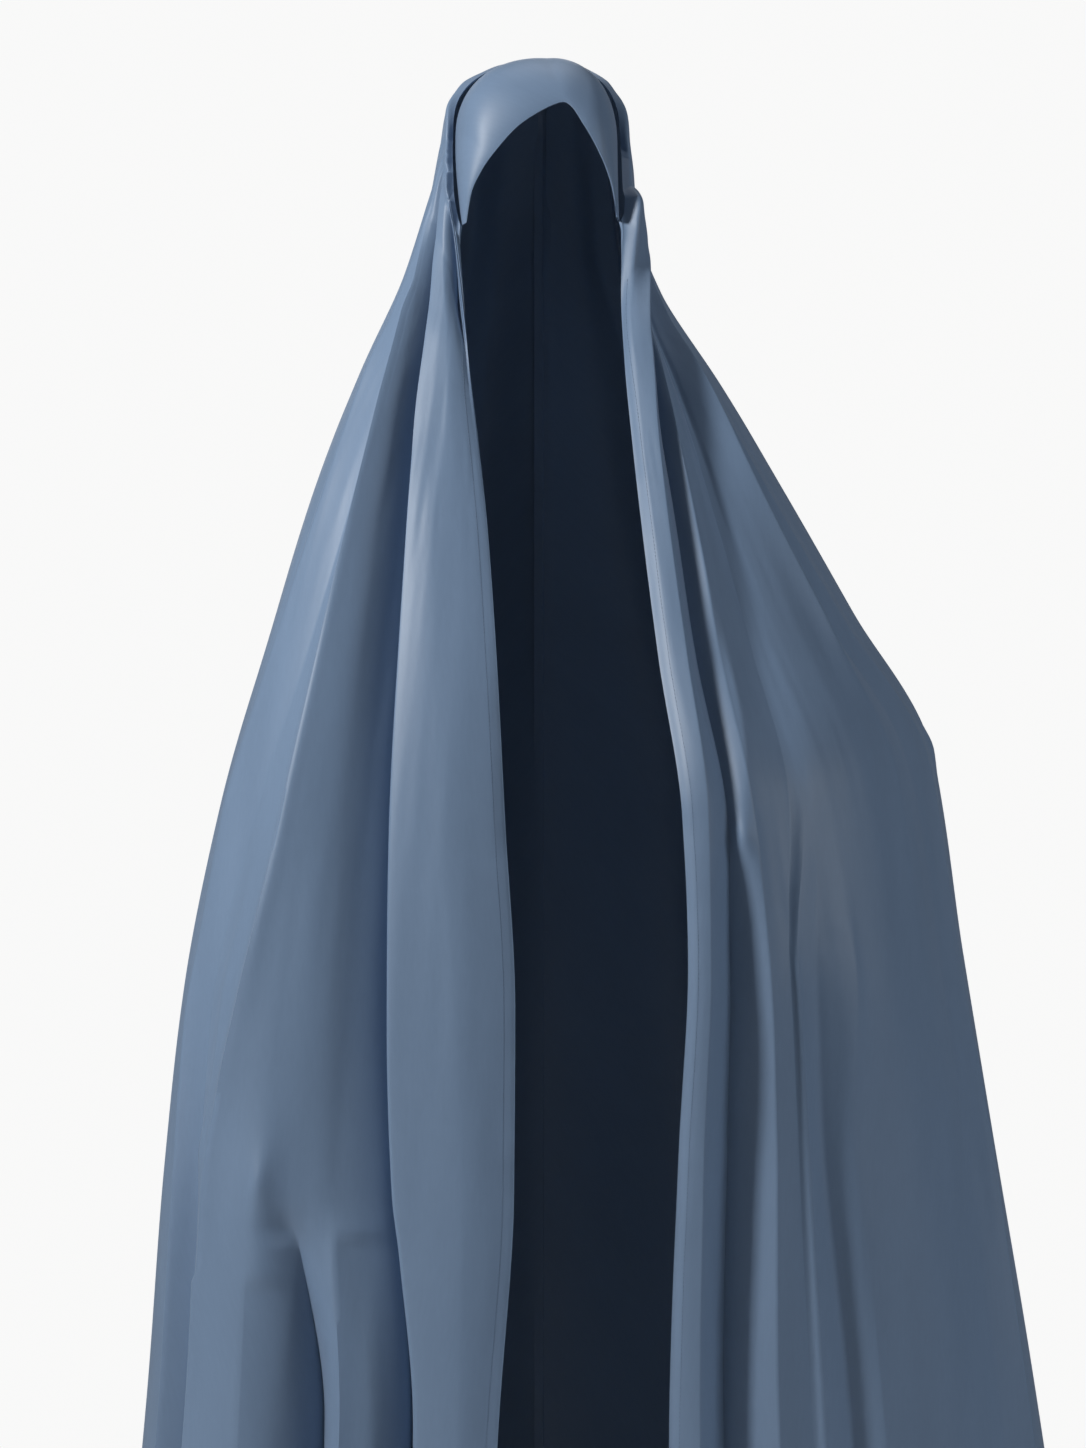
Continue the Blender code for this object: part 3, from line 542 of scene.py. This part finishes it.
def lattice(place, level, across, down, seed):
    """Smooth seeded waves of about one unit, on a lattice of the given cells."""
    rows = int(level.max() * down) + 4
    columns = int(place.max() * across) + 4
    knots = np.random.default_rng(seed).uniform(-1, 1, (rows, columns))
    u, v = place * across + 1, level * down + 1
    i, j = u.astype(int), v.astype(int)
    fu, fv = u - i, v - j
    fu, fv = fu * fu * (3 - 2 * fu), fv * fv * (3 - 2 * fv)
    top = knots[j, i] * (1 - fu) + knots[j, i + 1] * fu
    low = knots[j + 1, i] * (1 - fu) + knots[j + 1, i + 1] * fu
    return top * (1 - fv) + low * fv


def fine_folds(sections, creases, place, level, seed):
    """Fine creases along their paths, and the long shallow waves of hanging cloth."""
    levels = np.broadcast_to(level[:, None], place.shape)
    base = base_surface(sections, place, levels)
    length = run_length(base, 1)
    square = smooth(range(len(sections)), sections[:, -2], level)
    out = np.zeros(place.shape)
    for path, near, far, size in creases.values():
        at, share = np.array(path).T
        centre = smooth(at, share, np.clip(level, at[0], at[-1]))
        centre = np.arcsin(np.clip(centre, 0, 1) ** (square / 2)) / (np.pi / 2)
        to_hem = at[-1] >= HEM_SECTION
        fade = np.clip((level - at[0]) / CREASE_START, 0, 1)
        fade = fade * np.clip((at[-1] - level) / CREASE_END + to_hem, 0, 1)
        fade = fade**2 * (3 - 2 * fade)
        middle = np.array([np.interp(c, p, s) for c, p, s in zip(centre, place, length)])
        off = length - middle[:, None]
        wide = np.where(off < 0, near, far)
        out += size * fade[:, None] * np.exp(-np.sqrt((off / wide) ** 2 + CREASE_ROUND) + CREASE_TOP)
    hang = np.clip((level - WAVES_FROM) / 3, 0, 1)[:, None]
    for own_seed, (height, across, down) in ((seed, LONG_WAVE), (seed + 1, SHORT_WAVE)):
        out += height * hang * lattice(place, levels, across, down, own_seed)
    return out, length


def evened(out, share):
    """The outward directions, averaged with their neighbours by the share given for each row."""
    calm = out
    for _ in range(EVEN_ROUNDS):
        wide = np.pad(calm, ((1, 1), (1, 1), (0, 0)), mode="edge")
        calm = (wide[:-2, 1:-1] + wide[2:, 1:-1] + wide[1:-1, :-2] + wide[1:-1, 2:]) / 4
    calm = out + (calm - out) * share[:, None, None]
    return calm / np.linalg.norm(calm, axis=-1, keepdims=True)


def panel_surface(sections, front, back, points, creases, columns, level, seed):
    """The outer face of one panel, with its folds."""
    place, stand = fold_field(sections, front, back, points, columns, level)
    levels = np.broadcast_to(level[:, None], place.shape)
    low, high = np.clip(place - 0.01, 0, 2), np.clip(place + 0.01, 0, 2)
    up, down = np.clip(levels - 0.02, 0, HEM_SECTION), np.clip(levels + 0.02, 0, HEM_SECTION)
    across = base_surface(sections, high, levels) - base_surface(sections, low, levels)
    along = base_surface(sections, place, down) - base_surface(sections, place, up)
    out = np.cross(across, along)
    out /= np.linalg.norm(out, axis=-1, keepdims=True)
    if sections[0, 0] > 0:
        out = -out
    out = evened(out, np.clip((EVEN_TO - level) / EVEN_OVER, 0, 1))
    at, lift, outward, forward = np.array(list(GATHER_ROLL.values())).T
    in_roll = np.minimum(level, at[-1])
    from_edge = np.clip(place / ROLL_FADE, 0, 1)
    from_edge = ROLL_AT_EDGE + (1 - ROLL_AT_EDGE) * from_edge**2 * (3 - 2 * from_edge)
    fine, length = fine_folds(sections, creases, place, level, seed)
    ripple = lattice(place * 0, levels, 1, PUCKER_DOWN, seed + 2)
    pucker = PUCKER_HEIGHT * np.exp(-length / PUCKER_REACH) * ripple
    fine = fine + pucker * np.clip((level[:, None] - PUCKER_FROM) / 3, 0, 1)
    stand = stand + fine * np.clip((2 - place) / SEAM_FADE, 0, 1)
    stand = stand + LAP_LIFT * smooth(at, lift, in_roll)[:, None] * (0.4 + 0.6 * from_edge)
    stand = stand + ROLL_OUT * smooth(at, outward, in_roll)[:, None] * from_edge
    surface = base_surface(sections, place, levels) + out * stand[..., None]
    surface[..., 1] -= LAP * smooth(at, forward, in_roll)[:, None] * from_edge
    return surface


def head_surface(along, back):
    """The head panel's outer face: along runs from left to right, back from the front edge to the seam."""
    table = np.array(list(FACE_EDGE.values()))
    face = smooth(table[:, 0], table[:, 1:], along) * (HEAD_WIDTH, HEAD_DEPTH, -HEAD_HEIGHT)
    seam = np.zeros_like(face)
    for hood, fall, chosen, turn in (
        (LEFT_HOOD, LEFT_FALL, along <= 0.5, along * 4),
        (RIGHT_HOOD, RIGHT_FALL, along > 0.5, (1 - along) * 4),
    ):
        seam[chosen] = base_surface(in_metres(hood, fall), turn[chosen], np.zeros(chosen.sum()))
    middle = np.array([0.0, seam[0, 1], seam[0, 2]])
    inward = middle - seam
    inward[:, 1] = 0
    inward /= np.linalg.norm(inward, axis=-1, keepdims=True)
    seam = seam + inward * SEAM_GAP * 2
    corner = np.stack([seam[:, 0], face[:, 1], seam[:, 2]], -1)
    turn = back[:, None, None] * np.pi / 2
    points = face + (corner - face) * np.sin(turn) + (seam - corner) * (1 - np.cos(turn))
    points[..., 2] += CROWN_RISE * np.sin(np.pi * along) * np.sin(2 * turn[..., 0]) ** 2
    return points


# materials
def group(name, inputs, outputs):
    tree = bpy.data.node_groups.new(name, "ShaderNodeTree")
    for kind, rows in (("INPUT", inputs), ("OUTPUT", outputs)):
        for label, sort, value in rows:
            socket = tree.interface.new_socket(label, in_out=kind, socket_type="NodeSocket" + sort)
            if value is not None:
                socket.default_value = value
    return tree, tree.nodes.new("NodeGroupInput"), tree.nodes.new("NodeGroupOutput")


def maths(tree, kind, first, second=None, third=None):
    node = tree.nodes.new("ShaderNodeMath")
    node.operation = kind
    for socket, value in zip(node.inputs, (first, second, third)):
        if isinstance(value, (int, float)):
            socket.default_value = value
        elif value is not None:
            tree.links.new(value, socket)
    return node.outputs[0]


def weave_group():
    """A fine crepe twill: threads across and along, with small uneven slubs."""
    tree, taken, given = group(
        "crepe_weave",
        (
            ("Across", "Float", 0.0),
            ("Along", "Float", 0.0),
            ("Threads", "Float", 1900.0),
            ("Depth", "Float", 1.0),
        ),
        (("Height", "Float", None), ("Grain", "Float", None)),
    )
    u = maths(tree, "MULTIPLY", taken.outputs["Across"], taken.outputs["Threads"])
    v = maths(tree, "MULTIPLY", taken.outputs["Along"], taken.outputs["Threads"])
    twill = maths(tree, "ADD", u, maths(tree, "MULTIPLY", v, 0.5))
    ribs = maths(tree, "SINE", maths(tree, "MULTIPLY", twill, 2 * math.pi))
    warp = maths(tree, "SINE", maths(tree, "MULTIPLY", u, 2 * math.pi))
    cells = tree.nodes.new("ShaderNodeCombineXYZ")
    tree.links.new(maths(tree, "MULTIPLY", u, 0.35), cells.inputs[0])
    tree.links.new(maths(tree, "MULTIPLY", v, 0.06), cells.inputs[1])
    slub = tree.nodes.new("ShaderNodeTexNoise")
    slub.inputs["Scale"].default_value = 1.0
    slub.inputs["Detail"].default_value = 3.0
    tree.links.new(cells.outputs[0], slub.inputs["Vector"])
    height = maths(tree, "ADD", maths(tree, "MULTIPLY", ribs, 0.35), maths(tree, "MULTIPLY", warp, 0.25))
    height = maths(tree, "ADD", height, slub.outputs["Fac"])
    tree.links.new(maths(tree, "MULTIPLY", height, taken.outputs["Depth"]), given.inputs["Height"])
    tree.links.new(slub.outputs["Fac"], given.inputs["Grain"])
    return tree


def wear_group():
    """Broad unevenness: the cloth is a little darker and duller in soft clouds and streaks."""
    tree, taken, given = group(
        "cloth_unevenness",
        (("Across", "Float", 0.0), ("Along", "Float", 0.0), ("Amount", "Float", 1.0)),
        (("Tone", "Float", None), ("Dull", "Float", None)),
    )
    place = tree.nodes.new("ShaderNodeCombineXYZ")
    tree.links.new(maths(tree, "MULTIPLY", taken.outputs["Across"], 46.0), place.inputs[0])
    tree.links.new(maths(tree, "MULTIPLY", taken.outputs["Along"], 9.0), place.inputs[1])
    clouds = tree.nodes.new("ShaderNodeTexNoise")
    clouds.inputs["Scale"].default_value = 1.0
    clouds.inputs["Detail"].default_value = 4.0
    tree.links.new(place.outputs[0], clouds.inputs["Vector"])
    centred = maths(tree, "SUBTRACT", clouds.outputs["Fac"], 0.5)
    amount = maths(tree, "MULTIPLY", centred, taken.outputs["Amount"])
    tree.links.new(maths(tree, "MULTIPLY_ADD", amount, 0.14, 1.0), given.inputs["Tone"])
    tree.links.new(maths(tree, "MULTIPLY", amount, 0.12), given.inputs["Dull"])
    return tree


def cloth(name, weave, wear):
    material = bpy.data.materials.new(name)
    material.use_nodes = True
    tree = material.node_tree
    shader = tree.nodes["Principled BSDF"]
    coords = tree.nodes.new("ShaderNodeUVMap")
    coords.uv_map = "cloth"
    parts = tree.nodes.new("ShaderNodeSeparateXYZ")
    tree.links.new(coords.outputs[0], parts.inputs[0])
    woven = tree.nodes.new("ShaderNodeGroup")
    woven.node_tree = weave
    worn = tree.nodes.new("ShaderNodeGroup")
    worn.node_tree = wear
    for node in (woven, worn):
        tree.links.new(parts.outputs[0], node.inputs["Across"])
        tree.links.new(parts.outputs[1], node.inputs["Along"])
    tone = maths(tree, "MULTIPLY_ADD", woven.outputs["Grain"], 0.10, 0.95)
    tone = maths(tree, "MULTIPLY", tone, worn.outputs["Tone"])
    colour = tree.nodes.new("ShaderNodeVectorMath")
    colour.operation = "SCALE"
    colour.inputs[0].default_value = CLOTH_COLOUR
    tree.links.new(tone, colour.inputs["Scale"])
    tree.links.new(colour.outputs[0], shader.inputs["Base Color"])
    tree.links.new(maths(tree, "ADD", worn.outputs["Dull"], 0.46), shader.inputs["Roughness"])
    bump = tree.nodes.new("ShaderNodeBump")
    bump.inputs["Strength"].default_value = 0.25
    bump.inputs["Distance"].default_value = 0.00012
    tree.links.new(woven.outputs["Height"], bump.inputs["Height"])
    tree.links.new(bump.outputs[0], shader.inputs["Normal"])
    shader.inputs["Sheen Weight"].default_value = 0.22
    shader.inputs["Sheen Roughness"].default_value = 0.4
    shader.inputs["Sheen Tint"].default_value = (0.75, 0.85, 1.0, 1)
    shader.inputs["Specular IOR Level"].default_value = 0.42
    return material


def thread(name):
    material = bpy.data.materials.new(name)
    material.use_nodes = True
    tree = material.node_tree
    shader = tree.nodes["Principled BSDF"]
    place = tree.nodes.new("ShaderNodeTexCoord")
    twist = tree.nodes.new("ShaderNodeTexNoise")
    twist.inputs["Scale"].default_value = 900.0
    tree.links.new(place.outputs["Object"], twist.inputs["Vector"])
    colour = tree.nodes.new("ShaderNodeVectorMath")
    colour.operation = "SCALE"
    colour.inputs[0].default_value = THREAD_COLOUR
    tree.links.new(maths(tree, "MULTIPLY_ADD", twist.outputs["Fac"], 0.3, 0.85), colour.inputs["Scale"])
    tree.links.new(colour.outputs[0], shader.inputs["Base Color"])
    shader.inputs["Roughness"].default_value = 0.4
    return material


# pieces
def plain(piece):
    """The piece with its modifiers worked into its mesh."""
    bpy.context.view_layer.update()
    graph = bpy.context.evaluated_depsgraph_get()
    mesh = bpy.data.meshes.new_from_object(piece.evaluated_get(graph))
    piece.modifiers.clear()
    piece.vertex_groups.clear()
    piece.data = mesh
    mesh.name = piece.name
    return piece


def shell(name, points, turned, flip, across, along, material):
    """The outer face thickened inwards, with the cloth's own length across and along as its UV map."""
    rows, columns = points.shape[:2]
    start = (np.arange(rows - 1)[:, None] * columns + np.arange(columns - 1)).ravel()
    ring = np.stack([start, start + 1, start + columns + 1, start + columns], -1)
    if flip:
        ring = ring[:, ::-1]
    mesh = bpy.data.meshes.new(name)
    mesh.from_pydata(points.reshape(-1, 3).tolist(), [], ring.tolist())
    spread = np.stack([across.ravel(), along.ravel()], -1) / 2
    mesh.uv_layers.new(name="cloth").data.foreach_set("uv", spread[ring.ravel()].ravel())
    piece = bpy.data.objects.new(name, mesh)
    bpy.context.collection.objects.link(piece)
    weights = piece.vertex_groups.new(name="turned")
    for value in np.unique(turned):
        weights.add(np.flatnonzero(turned.ravel() == value).tolist(), float(value), "REPLACE")
    thick = piece.modifiers.new("cloth", "SOLIDIFY")
    thick.thickness = HEM_WALL
    thick.offset = -1
    thick.vertex_group = weights.name
    thick.thickness_vertex_group = WALL / HEM_WALL
    mesh.materials.append(material)
    plain(piece)
    piece.data.polygons.foreach_set("use_smooth", [True] * len(piece.data.polygons))
    piece.data.set_sharp_from_angle(angle=math.radians(55))
    return piece


def stitch_nodes(material):
    """Stitches laid end to end along a line."""
    tree = bpy.data.node_groups.new("stitches", "GeometryNodeTree")
    tree.interface.new_socket("Line", in_out="INPUT", socket_type="NodeSocketGeometry")
    for label, value in (("Pitch", STITCH_PITCH), ("Length", STITCH_LENGTH), ("Thread", THREAD)):
        tree.interface.new_socket(label, in_out="INPUT", socket_type="NodeSocketFloat").default_value = value
    tree.interface.new_socket("Stitches", in_out="OUTPUT", socket_type="NodeSocketGeometry")
    taken, given = tree.nodes.new("NodeGroupInput"), tree.nodes.new("NodeGroupOutput")
    curve = tree.nodes.new("GeometryNodeMeshToCurve")
    steps = tree.nodes.new("GeometryNodeResampleCurve")
    steps.mode = "LENGTH"
    points = tree.nodes.new("GeometryNodeCurveToPoints")
    points.mode = "EVALUATED"
    bead = tree.nodes.new("GeometryNodeMeshIcoSphere")
    bead.inputs["Radius"].default_value = 0.5
    bead.inputs["Subdivisions"].default_value = 1
    size = tree.nodes.new("ShaderNodeCombineXYZ")
    put = tree.nodes.new("GeometryNodeInstanceOnPoints")
    real = tree.nodes.new("GeometryNodeRealizeInstances")
    paint = tree.nodes.new("GeometryNodeSetMaterial")
    paint.inputs["Material"].default_value = material
    link = tree.links.new
    link(taken.outputs["Line"], curve.inputs["Mesh"])
    link(curve.outputs[0], steps.inputs["Curve"])
    link(taken.outputs["Pitch"], steps.inputs["Length"])
    link(steps.outputs[0], points.inputs["Curve"])
    link(points.outputs["Points"], put.inputs["Points"])
    link(points.outputs["Rotation"], put.inputs["Rotation"])
    link(bead.outputs["Mesh"], put.inputs["Instance"])
    link(taken.outputs["Thread"], size.inputs[0])
    link(taken.outputs["Thread"], size.inputs[1])
    link(taken.outputs["Length"], size.inputs[2])
    link(size.outputs[0], put.inputs["Scale"])
    link(put.outputs[0], real.inputs[0])
    link(real.outputs[0], paint.inputs[0])
    link(paint.outputs[0], given.inputs[0])
    return tree


def stitches(name, lines, nodes, material):
    verts, edges = [], []
    for line in lines:
        first = len(verts)
        verts += [tuple(point) for point in line]
        edges += [(i, i + 1) for i in range(first, len(verts) - 1)]
    mesh = bpy.data.meshes.new(name)
    mesh.from_pydata(verts, edges, [])
    piece = bpy.data.objects.new(name, mesh)
    bpy.context.collection.objects.link(piece)
    piece.modifiers.new("stitches", "NODES").node_group = nodes
    plain(piece)
    piece.data.polygons.foreach_set("use_smooth", [True] * len(piece.data.polygons))
    if not piece.data.materials:
        piece.data.materials.append(material)
    return piece


def face_normals(points, flip):
    across = np.gradient(points, axis=1)
    along = np.gradient(points, axis=0)
    out = np.cross(across, along)
    out /= np.linalg.norm(out, axis=-1, keepdims=True) + 1e-12
    return out if flip else -out


def inner_line(points, out, distance):
    """A line that runs a set distance in from the first column, just proud of the face."""
    line = []
    for row, away in zip(points, out):
        run = np.concatenate([[0], np.cumsum(np.linalg.norm(np.diff(row, axis=0), axis=-1))])
        proud = row + away * THREAD * THREAD_PROUD
        line.append([np.interp(distance, run, proud[:, k]) for k in range(3)])
    return np.array(line)


def long_columns(front, back):
    """Columns by fold number: more where two folds lie further apart."""
    places = np.array([row[0][SPACING_SECTION] for row in front.values()])
    side = len(front) - 1
    gaps = np.diff(places)
    share = EVEN_COLUMNS / side + (1 - EVEN_COLUMNS) * gaps / gaps.sum()
    at = np.concatenate([[0], np.cumsum(share)])
    fore = np.interp(np.linspace(0, at[-1], FRONT_COLUMNS, endpoint=False), at, np.arange(side + 1))
    fore = np.sort(np.concatenate([fore[1:], np.arange(side)]))
    fore = fore[np.concatenate([np.diff(fore) > CLOSEST_COLUMNS, [True]])]
    return np.concatenate([fore, np.linspace(side, side + len(back), BACK_COLUMNS)])


def run_length(points, axis):
    """The length along the cloth from its first row or column."""
    steps = np.linalg.norm(np.diff(points, axis=axis), axis=-1)
    return np.insert(np.cumsum(steps, axis=axis), 0, 0, axis=axis)


def long_panel(name, hood, fall, front, back, bumps, creases, seed, materials, nodes):
    sections = in_metres(hood, fall)
    drops = [row[SECTION_COLUMNS.index("edge_drop")] for row in fall.values()]
    turn = HEM_SECTION - HEM_TURN / (FALL_HEIGHT * (drops[-1] - drops[-2]))
    level = np.concatenate([np.linspace(a, b, n, endpoint=False) for a, b, n in ROWS])
    level = np.concatenate([level[level < turn - 0.01], [turn, (turn + HEM_SECTION) / 2, HEM_SECTION]])
    across = long_columns(front, back)
    points = panel_surface(sections, front, back, bumps, creases, across, level, seed)
    hand = np.sign(sections[0, 0])
    points[:, -1, 0] = 0
    flat = points[:, -1:] + (hand * SEAM_FLAT, 0, 0)
    columns = [points[:, :-1], flat, points[:, -1:]]
    if hand > 0:
        columns.append(points[:, -1:] + (-FELL_NEAR, -WALL * FELL_BELOW, 0))
        columns.append(points[:, -1:] + (-FELL_FAR, -WALL * FELL_BELOW, 0))
    points = np.concatenate(columns, axis=1)
    turned = np.zeros(points.shape[:2])
    turned[:, :3] = TURNED_EDGE
    turned[-3:, :] = 1
    piece = shell(name, points, turned, hand > 0, run_length(points, 1), run_length(points, 0), materials[0])
    out = face_normals(points, hand < 0)
    inset = HEM_TURN * STITCH_INSET
    edge = inner_line(points[EDGE_STITCHES_FROM:], out[EDGE_STITCHES_FROM:], inset)
    foot = inner_line(np.swapaxes(points, 0, 1)[:, ::-1], np.swapaxes(out, 0, 1)[:, ::-1], inset)
    column = -2 if hand < 0 else -4
    seam = points[SEAM_STITCHES_FROM:, column] + out[SEAM_STITCHES_FROM:, column] * THREAD * THREAD_PROUD
    sewn = stitches(name.replace("panel", "hem_stitches"), [edge, foot[2:-4], seam], nodes, materials[1])
    return piece, sewn


def head_piece(name, material):
    along = np.linspace(0, 1, HEAD_COLUMNS)
    back = np.linspace(0, 1, HEAD_ROWS)
    points = head_surface(along, back)
    turned = np.zeros(points.shape[:2])
    turned[:3, :] = np.array(TURNED_EDGE)[:, None]
    return shell(name, points, turned, False, run_length(points, 1), run_length(points, 0), material)


def main():
    left = (LEFT_HOOD, LEFT_FALL, LEFT_FRONT, LEFT_BACK, LEFT_POINTS, LEFT_CREASES)
    right = (RIGHT_HOOD, RIGHT_FALL, RIGHT_FRONT, RIGHT_BACK, RIGHT_POINTS, RIGHT_CREASES)
    camera()
    studio()
    weave, wear = weave_group(), wear_group()
    sewing = thread("sewing_thread")
    nodes = stitch_nodes(sewing)
    head = head_piece("head_cloth", cloth("head_crepe", weave, wear))
    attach(head, "root")
    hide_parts("head_panel")
    for name, node, tables, seed in (
        ("left_panel_cloth", "left_panel", left, 11),
        ("right_panel_cloth", "right_panel", right, 23),
    ):
        materials = (cloth(node + "_crepe", weave, wear), sewing)
        piece, sewn = long_panel(name, *tables, seed, materials, nodes)
        for item in (piece, sewn):
            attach(item, "root")
        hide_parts(node)


main()
